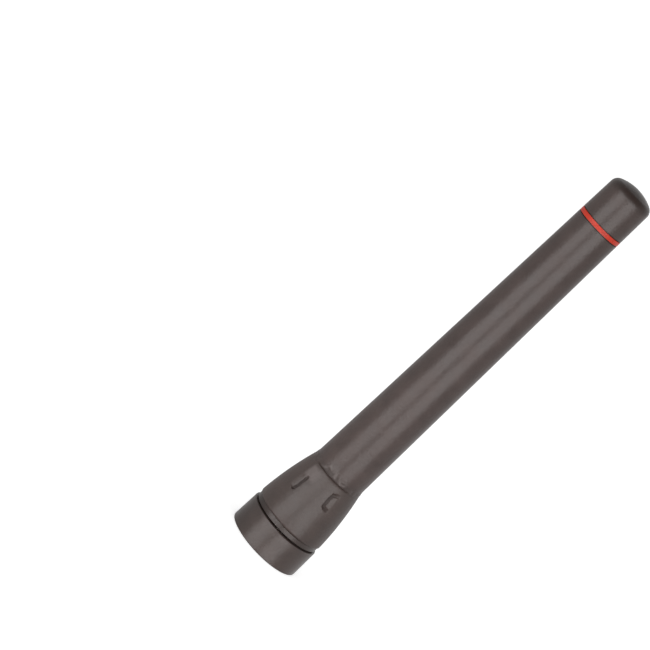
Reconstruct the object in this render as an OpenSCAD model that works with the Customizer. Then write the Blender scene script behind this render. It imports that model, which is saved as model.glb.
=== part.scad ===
// Stubby rubber-covered helical aerial for a hand-held two-way radio.
// It stands on its turning base collar: Z runs up the aerial, and the two grip marks face -Y.
// All sizes are in millimetres.

/* [Overall] */
// Height from the collar's flat base to the top of the rounded tip
overall_h = 87; // [80:1:120]
// Open gap, all the way round, between the turning collar and the part above it
turning_gap = 0.22; // [0.2:0.02:0.5]

/* [Base collar] */
// Height of the collar that is gripped to screw the aerial on
collar_h = 5.25; // [5:0.05:6]
// Diameter of the collar at its base
collar_d = 14.3; // [13.6:0.1:15.5]
// How much narrower the collar is at its top
collar_draft = 0.2; // [0.1:0.05:0.5]
// Rounding of the collar's two outer edges
collar_edge = 0.15; // [0.1:0.05:0.4]
// Thickness of the web that closes the collar over the nut
collar_web = 0.5; // [0.4:0.1:0.8]

/* [Coupling nut] */
// How far the nut's face is set back from the collar's base
nut_setback = 0.3; // [0.2:0.1:0.5]
// Width across the flats of the nut
nut_flats = 8; // [7.8:0.1:8.4]
// Outside diameter of the round rear of the nut
nut_hub_d = 7.7; // [7.5:0.1:7.7]
// Whole length of the nut
nut_l = 8.1; // [7.9:0.1:8.4]
// Outside diameter of the thread it takes
thread_d = 6.35; // [6.2:0.05:6.4]
// Pitch of that thread
thread_pitch = 0.7056; // [0.7:0.0056:0.7112]
// Length of the threaded part of the nut
thread_l = 4.4; // [3.8:0.1:4.6]

/* [Plug] */
// Depth of the plug's front face inside the nut
front_depth = 3.4; // [3.3:0.05:3.5]
// Outside diameter of the thin front tube
front_tube_d = 4.6; // [4.5:0.05:4.65]
// Length of the front tube, from its end to the shoulder
front_tube_l = 2.6; // [2.5:0.05:2.7]
// Diameter of the shoulder that the nut turns on
shoulder_d = 5.9; // [5.8:0.05:5.95]
// Running clearance on the radius between the shoulder and the nut
nut_clearance = 0.05; // [0.02:0.01:0.08]
// Diameter of the flange that holds the plug in its moulding
flange_d = 9.2; // [9:0.1:9.6]
// Thickness of that flange
flange_t = 0.8; // [0.6:0.1:1]
// Diameter of the plug's rear tube
rear_tube_d = 6.6; // [6.2:0.1:7]
// Length of the rear tube
rear_tube_l = 2.6; // [2.2:0.1:3]
// How far the two barbs stand out from the rear tube
barb_h = 0.3; // [0.2:0.05:0.4]
// Diameter of the plug's insulator
insulator_d = 4.1; // [4:0.05:4.15]
// Diameter of the contact end of the centre pin
pin_d = 0.92; // [0.9:0.01:0.94]
// Length of the contact end of the centre pin
pin_l = 2.5; // [2.3:0.05:2.5]
// Length of the taper at the pin's end
pin_taper = 0.3; // [0.2:0.05:0.4]
// Diameter of the centre pin inside the plug
pin_body_d = 1.27; // [1.2:0.01:1.3]
// Thickness of the flat seal in front of the shoulder
seal_t = 0.5; // [0.4:0.05:0.6]
// Width of the flat seal's band
seal_w = 0.5; // [0.4:0.05:0.6]

/* [Retaining ring] */
// Thickness of the ring wire along the axis
ring_t = 0.45; // [0.4:0.05:0.5]
// Depth of the groove in the shoulder
ring_groove = 0.35; // [0.3:0.01:0.4]
// How far the ring stands out from the shoulder
ring_stand = 0.27; // [0.2:0.01:0.3]
// Free space beside and around the ring in the nut's groove
ring_play = 0.06; // [0.04:0.01:0.08]
// Distance from the shoulder's front to the ring
ring_from_front = 0.9; // [0.7:0.05:1]
// Angle of the split in the ring
ring_split = 30; // [20:5:60]

/* [Base moulding] */
// Diameter of the rounded bead under the boot
bead_d = 13.5; // [13:0.1:14]
// Height of the bead
bead_h = 1; // [0.8:0.05:1.1]
// Rounding of the bead's two edges
bead_edge = 0.12; // [0.1:0.02:0.3]
// Diameter of the moulding inside the foot of the boot
moulding_foot_d = 11; // [10.8:0.1:11.2]
// Diameter of the moulding inside the top of the boot
moulding_top_d = 9.6; // [9.3:0.1:9.9]
// Height of the moulding's wide foot above the plug's flange
moulding_lock = 0.8; // [0.6:0.1:1.2]
// Height of the moulding above the plug's rear tube
moulding_over = 1.4; // [1.2:0.1:1.8]

/* [Boot] */
// Height of the bell-shaped boot
boot_h = 11.2; // [11:0.1:13]
// Diameter of the boot at its foot
boot_foot_d = 13.85; // [13.2:0.05:14]
// Diameter the boot's side would reach at its top
boot_rim_d = 10.45; // [10.1:0.05:10.6]
// How far the side bulges out from a straight cone
boot_bulge = 0.27; // [0.15:0.01:0.35]
// Rounding of the boot's top rim
boot_rim_r = 0.45; // [0.3:0.05:0.6]
// Chamfer at the boot's foot that makes the thin crease over the bead
boot_crease = 0.16; // [0.08:0.02:0.2]

/* [Grip marks] */
// Angle of the left mark's deep side from the front
left_mark_angle = -29; // [-34:1:-24]
// Height of the left mark's lower end above the boot's foot
left_mark_up = 5; // [4.8:0.1:5.7]
// Length of the left mark
left_mark_l = 3.5; // [3:0.1:3.8]
// Angle over which the left mark fades out
left_mark_fade = 13; // [10:1:16]
// Angle of the right mark's deep side from the front
right_mark_angle = 19; // [15:1:24]
// Height of the right mark's lower end above the boot's foot
right_mark_up = 6.4; // [6.2:0.1:6.9]
// Length of the right mark
right_mark_l = 3.2; // [2.8:0.1:3.4]
// Angle over which the right mark fades out
right_mark_fade = 15; // [12:1:18]
// Depth of both marks at their deep side, halfway up
mark_depth = 0.34; // [0.2:0.02:0.4]
// Width of the deeper line along the deep side and lower end
mark_line_w = 0.42; // [0.3:0.02:0.5]
// How much deeper that line is
mark_line_depth = 0.14; // [0.06:0.02:0.2]
// Length of that line along the mark's lower end
mark_foot_l = 1.05; // [0.8:0.05:1.2]

/* [Sheath] */
// Diameter of the sheath just above the boot
sheath_d = 10.22; // [9.8:0.02:10.3]
// Diameter of the sheath where its tip starts to round over
sheath_tip_d = 8.4; // [8.2:0.1:8.8]
// Rounding of the tip's shoulder
tip_shoulder_r = 1.5; // [1.2:0.1:1.7]
// Height of the rounded-over tip
tip_h = 2.1; // [1.9:0.1:2.6]
// Diameter of the sheath's foot inside the boot
sheath_foot_d = 8.4; // [8.2:0.1:8.6]

/* [Colour band] */
// Distance from the top of the tip down to the middle of the band
band_down = 8.5; // [8.2:0.1:12]
// Width of the colour band
band_w = 0.75; // [0.7:0.05:1.4]
// Thickness of the colour band
band_t = 0.45; // [0.35:0.05:0.5]
// Open line at each side of the band
band_line = 0.16; // [0.08:0.02:0.2]

/* [Radiator] */
// Diameter of the spring wire
wire_d = 0.9; // [0.8:0.05:1]
// Diameter of the coil, measured to the middle of the wire
coil_d = 4.6; // [4.4:0.1:4.7]
// Number of open turns
open_turns = 18; // [14:1:22]
// Number of close turns at each end
close_turns = 2; // [1:1:3]
// Free space between the wire and the parts beside it
wire_play = 0.08; // [0.06:0.01:0.12]
// Height of the brass foot under the coil
holder_foot_h = 1.2; // [1:0.1:1.4]
// How far that foot stands above the base moulding
holder_foot_up = 0.5; // [0.3:0.1:0.7]
// Height of the brass stem inside the coil's lower turns
holder_stem_h = 3.2; // [2.8:0.1:3.6]
// Depth of the hole in the brass foot that takes the centre pin
holder_hole = 2; // [1.6:0.1:2.4]
// Thickness of the shrunk sleeve over the coil
sleeve_t = 0.3; // [0.25:0.05:0.35]
// Thickness of the plug that closes the sleeve over the coil
cap_t = 1.2; // [1:0.1:1.6]
// Length of that plug's stem inside the coil
cap_stem_l = 3.8; // [3:0.1:5]
// Thickness of solid rubber between the coil's plug and the top of the tip
tip_rubber = 6.1; // [5.5:0.1:8]

/* [Hidden] */
$fn = 96;
join = 0.01;
cut_reach = 3;

collar_top_r = (collar_d - collar_draft) / 2;
nut_z = nut_setback;
nut_top_z = nut_z + nut_l;
nut_hex_top_z = collar_h - collar_web;
nut_hub_r = nut_hub_d / 2;
thread_r = thread_d / 2;
thread_depth = 5 / 8 * cos(30) * thread_pitch;
thread_crest_r = thread_r - thread_depth;
thread_turns = floor((thread_l - thread_pitch) / thread_pitch);

front_z = nut_z + front_depth;
shoulder_z = front_z + front_tube_l;
shoulder_r = shoulder_d / 2;
front_tube_r = front_tube_d / 2;
nut_bore_r = shoulder_r + nut_clearance;
flange_z = nut_top_z + turning_gap;
rear_z = flange_z + flange_t;
rear_top_z = rear_z + rear_tube_l;
rear_tube_r = rear_tube_d / 2;
insulator_r = insulator_d / 2;
pin_r = pin_d / 2;
pin_body_r = pin_body_d / 2;
ring_z = shoulder_z + ring_from_front;

bead_z = collar_h + turning_gap;
boot_z = bead_z + bead_h;
moulding_step_z = rear_z + moulding_lock;
moulding_top_z = rear_top_z + moulding_over;
holder_z = moulding_top_z + holder_foot_up - holder_foot_h;
holder_foot_top_z = holder_z + holder_foot_h;
recess_r = nut_hub_r + turning_gap;

coil_r = coil_d / 2;
wire_r = wire_d / 2;
coil_in_r = coil_r - wire_r - wire_play;
coil_out_r = coil_r + wire_r + wire_play;
sleeve_r = coil_out_r + sleeve_t;
close_pitch = wire_d + wire_play;
coil_z = holder_foot_top_z + wire_play + wire_r;
cap_top_z = overall_h - tip_rubber;
cap_z = cap_top_z - cap_t;
coil_top_z = cap_z - wire_play - wire_r;
open_pitch = (coil_top_z - coil_z - 2 * close_turns * close_pitch) / open_turns;
coil_step = 20;
coil_turns = open_turns + 2 * close_turns;
coil_points = coil_turns * 360 / coil_step;
wire_sides = 8;

boot_top_z = boot_z + boot_h;
boot_foot_r = boot_foot_d / 2;
boot_drop = boot_foot_r - boot_rim_d / 2;
boot_chord = sqrt(boot_h * boot_h + boot_drop * boot_drop);
boot_arc_r = (boot_chord * boot_chord / 4 + boot_bulge * boot_bulge) / (2 * boot_bulge);
boot_arc_x = boot_foot_r - boot_drop / 2 - (boot_arc_r - boot_bulge) * boot_h / boot_chord;
boot_arc_z = boot_z + boot_h / 2 - (boot_arc_r - boot_bulge) * boot_drop / boot_chord;
boot_rim_z = boot_top_z - boot_rim_r;
boot_rim_x = boot_arc_x + sqrt(pow(boot_arc_r - boot_rim_r, 2) - pow(boot_rim_z - boot_arc_z, 2));
boot_blend_z = boot_arc_z + boot_arc_r * (boot_rim_z - boot_arc_z) / (boot_arc_r - boot_rim_r);

sheath_r = sheath_d / 2;
sheath_tip_r = sheath_tip_d / 2;
tip_z = overall_h - tip_h;
tip_shoulder_x = sheath_tip_r - tip_shoulder_r;
tip_dome_r = (pow(tip_shoulder_x, 2) + pow(tip_h, 2) - pow(tip_shoulder_r, 2)) / (2 * (tip_h - tip_shoulder_r));
tip_blend_x = tip_dome_r * tip_shoulder_x / (tip_dome_r - tip_shoulder_r);
sheath_foot_r = sheath_foot_d / 2;
band_z = overall_h - band_down;

function sheath_radius(z) = sheath_r - (sheath_r - sheath_tip_r) * (z - boot_top_z) / (tip_z - boot_top_z);
function boot_radius(z) = boot_arc_x + sqrt(pow(boot_arc_r, 2) - pow(z - boot_arc_z, 2));

// A plain ring or tube from z0 to z1.
module tube(outer_r, inner_r, z0, z1) {
  rotate_extrude()
    translate([inner_r, z0])
      square([outer_r - inner_r, z1 - z0]);
}

// A disc with both outer edges rounded, and a slightly narrower top when top_r is smaller.
module rounded_disc(bottom_r, top_r, z0, z1, edge) {
  rotate_extrude() {
    polygon([
      [0, z0],
      [bottom_r - edge, z0],
      [bottom_r, z0 + edge],
      [top_r, z1 - edge],
      [top_r - edge, z1],
      [0, z1]
    ]);
    translate([bottom_r - edge, z0 + edge])
      circle(edge);
    translate([top_r - edge, z1 - edge])
      circle(edge);
  }
}

// Gripped with the fingers: it drives the nut by its six flats.
module base_collar() {
  color([0.27, 0.27, 0.28])
    difference() {
      rounded_disc(collar_d / 2, collar_top_r, 0, collar_h, collar_edge);
      translate([0, 0, -join])
        cylinder(h = nut_hex_top_z + join, d = nut_flats / cos(30), $fn = 6);
      cylinder(h = collar_h + join, r = nut_hub_r);
    }
}

// Turns on the plug's shoulder and pulls the plug onto the radio's socket.
module coupling_nut() {
  color([0.78, 0.77, 0.73])
    difference() {
      union() {
        translate([0, 0, nut_z])
          cylinder(h = nut_hex_top_z - nut_z, d = nut_flats / cos(30), $fn = 6);
        tube(nut_hub_r, nut_bore_r, nut_z, nut_top_z);
      }
      translate([0, 0, nut_z - join])
        cylinder(h = thread_l + 2 * join, r = thread_crest_r);
      translate([0, 0, nut_z - join])
        cylinder(h = thread_depth + join, r1 = thread_r + join, r2 = thread_crest_r);
      translate([0, 0, nut_z + thread_l])
        cylinder(h = nut_l, r = nut_bore_r);
      for (i = [1 : thread_turns])
        thread_line(nut_z + i * thread_pitch);
      tube(shoulder_r + ring_stand + ring_play, shoulder_r, ring_z - ring_play, ring_z + ring_t + ring_play);
    }
}

// One turn of the nut's thread, as a closed ring.
module thread_line(z) {
  rotate_extrude()
    translate([thread_crest_r, z])
      polygon([
        [-join, -0.375 * thread_pitch],
        [thread_depth, -0.0625 * thread_pitch],
        [thread_depth, 0.0625 * thread_pitch],
        [-join, 0.375 * thread_pitch]
      ]);
}

// A split spring ring that keeps the nut on the shoulder.
module retaining_ring() {
  color([0.72, 0.55, 0.35])
    rotate([0, 0, ring_split / 2])
      rotate_extrude(angle = 360 - ring_split)
        translate([shoulder_r - ring_groove, ring_z])
          square([ring_groove + ring_stand, ring_t]);
}

// A flat seal that the rim of the radio's socket presses on.
module nut_seal() {
  color([0.62, 0.12, 0.08])
    tube(front_tube_r + seal_w, front_tube_r, shoulder_z - seal_t, shoulder_z);
}

// The outer conductor: a thin front tube, the shoulder, a flange and a barbed rear tube.
module plug_body() {
  color([0.86, 0.68, 0.34])
    difference() {
      union() {
        translate([0, 0, front_z])
          cylinder(h = front_tube_l + join, r = front_tube_r);
        translate([0, 0, shoulder_z])
          cylinder(h = flange_z - shoulder_z + join, r = shoulder_r);
        plug_rear();
      }
      translate([0, 0, front_z - join])
        cylinder(h = rear_top_z - front_z + 2 * join, r = insulator_r);
      tube(shoulder_r + join, shoulder_r - ring_groove, ring_z, ring_z + ring_t);
    }
}

// The flange and barbed rear of the plug, as a solid: the base moulding closes round it.
module plug_rear() {
  translate([0, 0, flange_z])
    cylinder(h = flange_t, d = flange_d);
  translate([0, 0, rear_z - join])
    cylinder(h = rear_tube_l + join, r = rear_tube_r);
  for (i = [1 : 2])
    translate([0, 0, rear_z + i * rear_tube_l / 3])
      cylinder(h = 2 * barb_h, r1 = rear_tube_r + barb_h, r2 = rear_tube_r);
}

module plug_insulator() {
  color([0.93, 0.93, 0.9])
    tube(insulator_r, pin_body_r, front_z, rear_top_z);
}

// One turned pin: the thin contact end, the body, and the end held in the coil's foot.
module centre_pin() {
  color([0.86, 0.68, 0.34])
    union() {
      translate([0, 0, front_z - pin_l])
        cylinder(h = pin_taper, r1 = pin_r / 2, r2 = pin_r);
      translate([0, 0, front_z - pin_l + pin_taper])
        cylinder(h = pin_l - pin_taper + join, r = pin_r);
      translate([0, 0, front_z])
        cylinder(h = holder_z + holder_hole - front_z, r = pin_body_r);
    }
}

// Hard plastic moulded around the plug; its rounded rim is the bead under the boot.
module base_moulding() {
  color([0.16, 0.15, 0.15])
    difference() {
      union() {
        rounded_disc(bead_d / 2, bead_d / 2, bead_z, boot_z, bead_edge);
        translate([0, 0, boot_z - join])
          cylinder(h = moulding_step_z - boot_z + join, d = moulding_foot_d);
        translate([0, 0, moulding_step_z - join])
          cylinder(h = moulding_top_z - moulding_step_z + join, d = moulding_top_d);
      }
      translate([0, 0, bead_z - join])
        cylinder(h = flange_z - bead_z + 2 * join, r = recess_r);
      plug_rear();
      translate([0, 0, rear_top_z - join])
        cylinder(h = moulding_over, r = pin_body_r);
      translate([0, 0, holder_z])
        cylinder(h = moulding_top_z, r = coil_out_r);
    }
}

// Brass foot and stem that join the coil to the centre pin.
module coil_holder() {
  color([0.78, 0.62, 0.3])
    difference() {
      union() {
        translate([0, 0, holder_z])
          cylinder(h = holder_foot_h, r = coil_out_r);
        translate([0, 0, holder_foot_top_z - join])
          cylinder(h = holder_stem_h + join, r = coil_in_r);
      }
      translate([0, 0, holder_z - join])
        cylinder(h = holder_hole + join, r = pin_body_r);
    }
}

// Solder between the lower end of the wire and the brass foot.
module solder_joint() {
  color([0.7, 0.7, 0.7])
    translate([coil_r - wire_r, -wire_d, holder_foot_top_z])
      cube([wire_d, wire_d, wire_d]);
}

// Height of the middle of the wire after a number of turns.
function coil_height(turns) =
  turns < close_turns ? coil_z + turns * close_pitch :
  turns < close_turns + open_turns ? coil_z + close_turns * close_pitch + (turns - close_turns) * open_pitch :
  coil_top_z - (coil_turns - turns) * close_pitch;

// One corner of the wire's round section at one step along the coil.
function wire_corner(step, side) = [
  (coil_r + wire_r * cos(side * 360 / wire_sides)) * cos(step * coil_step),
  (coil_r + wire_r * cos(side * 360 / wire_sides)) * sin(step * coil_step),
  coil_height(step * coil_step / 360) + wire_r * sin(side * 360 / wire_sides)
];

// The radiating coil: close turns at both ends and open turns between them.
module coil() {
  corners = [for (i = [0 : coil_points]) for (k = [0 : wire_sides - 1]) wire_corner(i, k)];
  sides = [
    for (i = [0 : coil_points - 1]) for (k = [0 : wire_sides - 1]) [
      i * wire_sides + k,
      (i + 1) * wire_sides + k,
      (i + 1) * wire_sides + (k + 1) % wire_sides,
      i * wire_sides + (k + 1) % wire_sides
    ]
  ];
  first_end = [for (k = [0 : wire_sides - 1]) k];
  last_end = [for (k = [wire_sides - 1 : -1 : 0]) coil_points * wire_sides + k];
  color([0.72, 0.45, 0.3])
    polyhedron(points = corners, faces = concat(sides, [first_end, last_end]), convexity = 10);
}

// A bendy plastic rod that keeps the coil's middle from collapsing.
module core_rod() {
  color([0.85, 0.84, 0.78])
    translate([0, 0, holder_foot_top_z + holder_stem_h])
      cylinder(h = cap_z - cap_stem_l - holder_foot_top_z - holder_stem_h, r = coil_in_r - wire_play);
}

// Closes the sleeve over the upper end of the coil.
module coil_cap() {
  color([0.2, 0.2, 0.2])
    union() {
      translate([0, 0, cap_z - cap_stem_l])
        cylinder(h = cap_stem_l + join, r = coil_in_r - wire_play);
      translate([0, 0, cap_z])
        cylinder(h = cap_t, r = coil_out_r);
    }
}

// Shrunk plastic sleeve that keeps rubber out of the coil.
module coil_sleeve() {
  color([0.1, 0.1, 0.1])
    tube(sleeve_r, coil_out_r, moulding_top_z, cap_top_z);
}

// Bell-shaped rubber boot with two shallow marks on its front.
module boot() {
  color([0.36, 0.33, 0.32])
    difference() {
      rotate_extrude()
        boot_side();
      translate([0, 0, boot_z - join])
        cylinder(h = moulding_step_z - boot_z + join, d = moulding_foot_d);
      translate([0, 0, moulding_step_z - join])
        cylinder(h = moulding_top_z - moulding_step_z + join, d = moulding_top_d);
      translate([0, 0, moulding_top_z - join])
        cylinder(h = boot_h, r = sheath_foot_r);
      grip_mark(left_mark_angle, -left_mark_fade, boot_z + left_mark_up, left_mark_l);
      grip_mark(right_mark_angle, right_mark_fade, boot_z + right_mark_up, right_mark_l);
    }
}

// Half section of the boot: a long bulging side, a rounded rim and a chamfered foot.
module boot_side() {
  difference() {
    union() {
      intersection() {
        translate([boot_arc_x, boot_arc_z])
          circle(boot_arc_r, $fn = 4 * $fn);
        translate([0, boot_z])
          square([boot_foot_d, boot_blend_z - boot_z]);
      }
      translate([0, boot_blend_z - join])
        square([boot_rim_x, boot_top_z - boot_blend_z + join]);
      translate([boot_rim_x, boot_rim_z])
        circle(boot_rim_r);
    }
    polygon([
      [boot_foot_r - boot_crease, boot_z - join],
      [boot_foot_r + boot_crease, boot_z - join],
      [boot_foot_r + boot_crease, boot_z + 2 * boot_crease]
    ]);
  }
}

// A shallow mark with a flat floor that is deepest at one side and fades out at the other.
module grip_mark(angle, fade, z, length) {
  middle_r = boot_radius(z + length / 2);
  deep_r = middle_r - mark_depth;
  turn = atan((cos(fade) - deep_r / middle_r) / sin(abs(fade)));
  way = sign(fade);
  floor_y = deep_r * cos(turn);
  side_x = deep_r * sin(turn);
  lean = atan((boot_radius(z) - boot_radius(z + length)) / length);
  rotate([0, 0, angle - way * turn])
    translate([way * side_x, -floor_y, z + length / 2])
      rotate([-lean, 0, 0])
        translate([0, -cut_reach, -length / 2]) {
          side_block(way, [cut_reach, cut_reach, length]);
          side_block(way, [mark_line_w, cut_reach + mark_line_depth, length]);
          side_block(way, [mark_foot_l, cut_reach + mark_line_depth, mark_line_w]);
        }
}

// A block that starts at x = 0 and runs to the right when way is 1, or to the left when it is -1.
module side_block(way, size) {
  translate([way > 0 ? 0 : -size[0], 0, 0])
    cube(size);
}

// Long tapered rubber sheath with a rounded tip and a groove for the colour band.
module sheath() {
  color([0.36, 0.33, 0.32])
    rotate_extrude()
      difference() {
        union() {
          translate([0, moulding_top_z])
            square([sheath_foot_r, boot_top_z - moulding_top_z + join]);
          polygon([
            [0, boot_top_z],
            [sheath_r, boot_top_z],
            [sheath_tip_r, tip_z],
            [0, tip_z]
          ]);
          translate([0, tip_z - join])
            square([tip_shoulder_x, tip_shoulder_r]);
          translate([tip_shoulder_x, tip_z])
            circle(tip_shoulder_r);
          intersection() {
            translate([0, overall_h - tip_dome_r])
              circle(tip_dome_r, $fn = 2 * $fn);
            translate([0, tip_z])
              square([tip_blend_x, tip_h]);
          }
        }
        translate([0, moulding_top_z - join])
          square([sleeve_r, cap_top_z - moulding_top_z + join]);
        translate([sheath_radius(band_z) - band_t, band_z - band_w / 2 - band_line])
          square([sheath_r, band_w + 2 * band_line]);
      }
}

// Snug ring that shows the frequency range by its colour.
module colour_band() {
  color([0.85, 0.13, 0.07])
    rotate_extrude()
      polygon([
        [sheath_radius(band_z) - band_t, band_z - band_w / 2],
        [sheath_radius(band_z - band_w / 2), band_z - band_w / 2],
        [sheath_radius(band_z + band_w / 2), band_z + band_w / 2],
        [sheath_radius(band_z) - band_t, band_z + band_w / 2]
      ]);
}

base_collar();
coupling_nut();
retaining_ring();
nut_seal();
plug_body();
plug_insulator();
centre_pin();
base_moulding();
coil_holder();
solder_joint();
coil();
core_rod();
coil_cap();
coil_sleeve();
boot();
sheath();
colour_band();
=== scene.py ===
# %% [markdown]
# # A stubby radio aerial, dressed for its picture
#
# The solids come ready made from the CAD step: a turning collar, a bell-shaped boot, a long rubber
# sheath, a red colour band, and the plug and spring inside. This lesson lights them, gives each one
# the finish of the real piece, and adds the small moulded details that the plain solids leave out.

import math

import bpy
from mathutils import Matrix, Vector, noise


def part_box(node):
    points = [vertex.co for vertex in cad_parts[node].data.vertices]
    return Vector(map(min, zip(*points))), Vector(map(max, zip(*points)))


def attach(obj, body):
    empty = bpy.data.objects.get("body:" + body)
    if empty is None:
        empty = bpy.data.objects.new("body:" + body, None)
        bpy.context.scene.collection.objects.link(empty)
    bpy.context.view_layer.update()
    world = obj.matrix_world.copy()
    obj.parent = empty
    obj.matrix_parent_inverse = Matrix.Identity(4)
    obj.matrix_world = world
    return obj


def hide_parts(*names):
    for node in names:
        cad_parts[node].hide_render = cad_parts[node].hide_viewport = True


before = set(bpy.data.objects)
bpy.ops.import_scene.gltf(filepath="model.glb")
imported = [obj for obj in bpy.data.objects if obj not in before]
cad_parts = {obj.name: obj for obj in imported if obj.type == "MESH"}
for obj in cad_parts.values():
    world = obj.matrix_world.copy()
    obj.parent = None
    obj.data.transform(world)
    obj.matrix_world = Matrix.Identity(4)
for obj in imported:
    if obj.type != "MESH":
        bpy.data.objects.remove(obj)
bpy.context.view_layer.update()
print("solids:", len(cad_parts))

# %% [markdown]
# ## Sizes
#
# Every place in this scene is worked out from the boxes of the solids, so a piece that is added here
# stays where it belongs when the CAD model changes. All lengths are in metres.

# %% Sizes from the solids
MM = 0.001
collar_low, collar_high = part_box("base_collar")
boot_low, boot_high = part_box("boot")
sheath_low, sheath_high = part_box("sheath")
band_low, band_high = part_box("colour_band")
floor_z = collar_low[2]
tip_z = sheath_high[2]
boot_foot_z = boot_low[2]
rim_z = boot_high[2]
boot_foot_r = (boot_high[0] - boot_low[0]) / 2
sheath_r = (sheath_high[0] - sheath_low[0]) / 2
print("height in mm:", round((tip_z - floor_z) / MM, 2))
print("base in mm:", round((collar_high[0] - collar_low[0]) / MM, 2))

# %% [markdown]
# ## Camera
#
# A long lens far from a small object keeps its sides nearly parallel. The camera looks slightly down
# on the aerial from its front and is rolled, so that the aerial lies across the picture from the lower
# left to the upper right. A camera can be placed by hand with rotation angles; here its three axes are
# worked out from the point it looks at, which is easier to adjust.

# %% Camera
CAMERA_AT = Vector((0.0, -0.4429, 0.1295))
LOOKS_AT = Vector((-0.01955, 0.0, 0.03367))
ROLL = math.radians(46.09)
LENS = 150.36
SENSOR_WIDTH = 36.0
NEAREST = 0.01
FARTHEST = 20.0


def add_camera(place, target, roll):
    """Adds the camera at place, looking at target and rolled about its own line of sight."""
    bpy.ops.object.select_all(action="DESELECT")
    bpy.ops.object.camera_add(location=place)
    camera = bpy.context.object
    camera.name = "camera"
    look = (target - place).normalized()
    right = look.cross(Vector((0, 0, 1))).normalized()
    up = right.cross(look)
    rolled_right = right * math.cos(roll) + up * math.sin(roll)
    rolled_up = up * math.cos(roll) - right * math.sin(roll)
    axes = Matrix((rolled_right, rolled_up, -look)).transposed()
    camera.rotation_euler = axes.to_euler()
    camera.data.sensor_width = SENSOR_WIDTH
    camera.data.lens = LENS
    camera.data.clip_start = NEAREST
    camera.data.clip_end = FARTHEST
    return camera


bpy.context.scene.camera = add_camera(CAMERA_AT, LOOKS_AT, ROLL)
bpy.context.scene.view_settings.view_transform = "Standard"
print("camera distance:", round((LOOKS_AT - CAMERA_AT).length, 3))

# %% [markdown]
# ## Material helpers
#
# Each finish is a small node tree on a Principled shader. Patterns read Object coordinates: a solid's
# object sits at the origin, so they are simply metres, and a noise scale of 1000 gives features of
# about one millimetre. The helpers below add one node each and return its output.


# %% Material helpers
def new_material(name, color, roughness, metallic=0.0):
    """Makes a material with a Principled shader and returns the material and the shader."""
    material = bpy.data.materials.new(name)
    material.use_nodes = True
    shader = material.node_tree.nodes["Principled BSDF"]
    shader.inputs["Base Color"].default_value = (*color, 1.0)
    shader.inputs["Roughness"].default_value = roughness
    shader.inputs["Metallic"].default_value = metallic
    return material, shader


def object_place(material, stretch=(1.0, 1.0, 1.0)):
    """Object coordinates, stretched along the axes: a small number draws a pattern out."""
    nodes = material.node_tree.nodes
    links = material.node_tree.links
    place = nodes.new("ShaderNodeTexCoord")
    mapping = nodes.new("ShaderNodeMapping")
    mapping.inputs["Scale"].default_value = stretch
    links.new(place.outputs["Object"], mapping.inputs["Vector"])
    return mapping.outputs["Vector"]


def noise_pattern(material, where, scale, detail=3.0, rough=0.5):
    """A noise value from 0 to 1 with features of about 1 / scale metres."""
    node = material.node_tree.nodes.new("ShaderNodeTexNoise")
    node.inputs["Scale"].default_value = scale
    node.inputs["Detail"].default_value = detail
    node.inputs["Roughness"].default_value = rough
    material.node_tree.links.new(where, node.inputs["Vector"])
    return node.outputs["Fac"]


def remap(owner, value, low, high, new_low, new_high):
    """Stretches value, so that low becomes new_low and high becomes new_high."""
    node = owner.node_tree.nodes.new("ShaderNodeMapRange")
    node.inputs["From Min"].default_value = low
    node.inputs["From Max"].default_value = high
    node.inputs["To Min"].default_value = new_low
    node.inputs["To Max"].default_value = new_high
    owner.node_tree.links.new(value, node.inputs["Value"])
    return node.outputs["Result"]


def blend_colors(material, share, first, second):
    """Mixes two colours, or the outputs of two nodes, by a share from 0 to 1."""
    node = material.node_tree.nodes.new("ShaderNodeMix")
    node.data_type = "RGBA"
    links = material.node_tree.links
    links.new(share, node.inputs["Factor"])
    for socket, color in ((node.inputs["A"], first), (node.inputs["B"], second)):
        if isinstance(color, tuple):
            socket.default_value = (*color, 1.0)
        else:
            links.new(color, socket)
    return node.outputs["Result"]


def shade(color, share):
    """The same colour, darker or lighter by a share."""
    return tuple(share * channel for channel in color)


def cloudy(material, clouds, dark, pale):
    """Two shades of a colour in soft patches, from the middle part of a noise."""
    return blend_colors(material, remap(material, clouds, 0.35, 0.65, 0.0, 1.0), dark, pale)


def combine(owner, kind, first, second):
    """Adds, multiplies or compares two values; owner is a material or the world, second may be a number."""
    node = owner.node_tree.nodes.new("ShaderNodeMath")
    node.operation = kind
    links = owner.node_tree.links
    links.new(first, node.inputs[0])
    if isinstance(second, (int, float)):
        node.inputs[1].default_value = second
    else:
        links.new(second, node.inputs[1])
    return node.outputs["Value"]


def height_above(material):
    """The height above the aerial's base, in metres."""
    nodes = material.node_tree.nodes
    place = nodes.new("ShaderNodeTexCoord")
    split = nodes.new("ShaderNodeSeparateXYZ")
    material.node_tree.links.new(place.outputs["Object"], split.inputs["Vector"])
    return split.outputs["Z"]


def near_height(material, z, reach):
    """1 at height z, fading to 0 at reach above and below it."""
    above = combine(material, "SUBTRACT", height_above(material), z)
    away = material.node_tree.nodes.new("ShaderNodeMath")
    away.operation = "ABSOLUTE"
    material.node_tree.links.new(above, away.inputs[0])
    return remap(material, away.outputs["Value"], 0.0, reach, 1.0, 0.0)


def add_bump(material, shader, height, distance):
    """Tilts the shading as a relief of the given depth would."""
    node = material.node_tree.nodes.new("ShaderNodeBump")
    node.inputs["Distance"].default_value = distance
    links = material.node_tree.links
    links.new(height, node.inputs["Height"])
    links.new(node.outputs["Normal"], shader.inputs["Normal"])


def stored_value(material, name):
    """A value from 0 to 1 that was stored for each point of the piece."""
    node = material.node_tree.nodes.new("ShaderNodeAttribute")
    node.attribute_name = name
    return node.outputs["Fac"]


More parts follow.
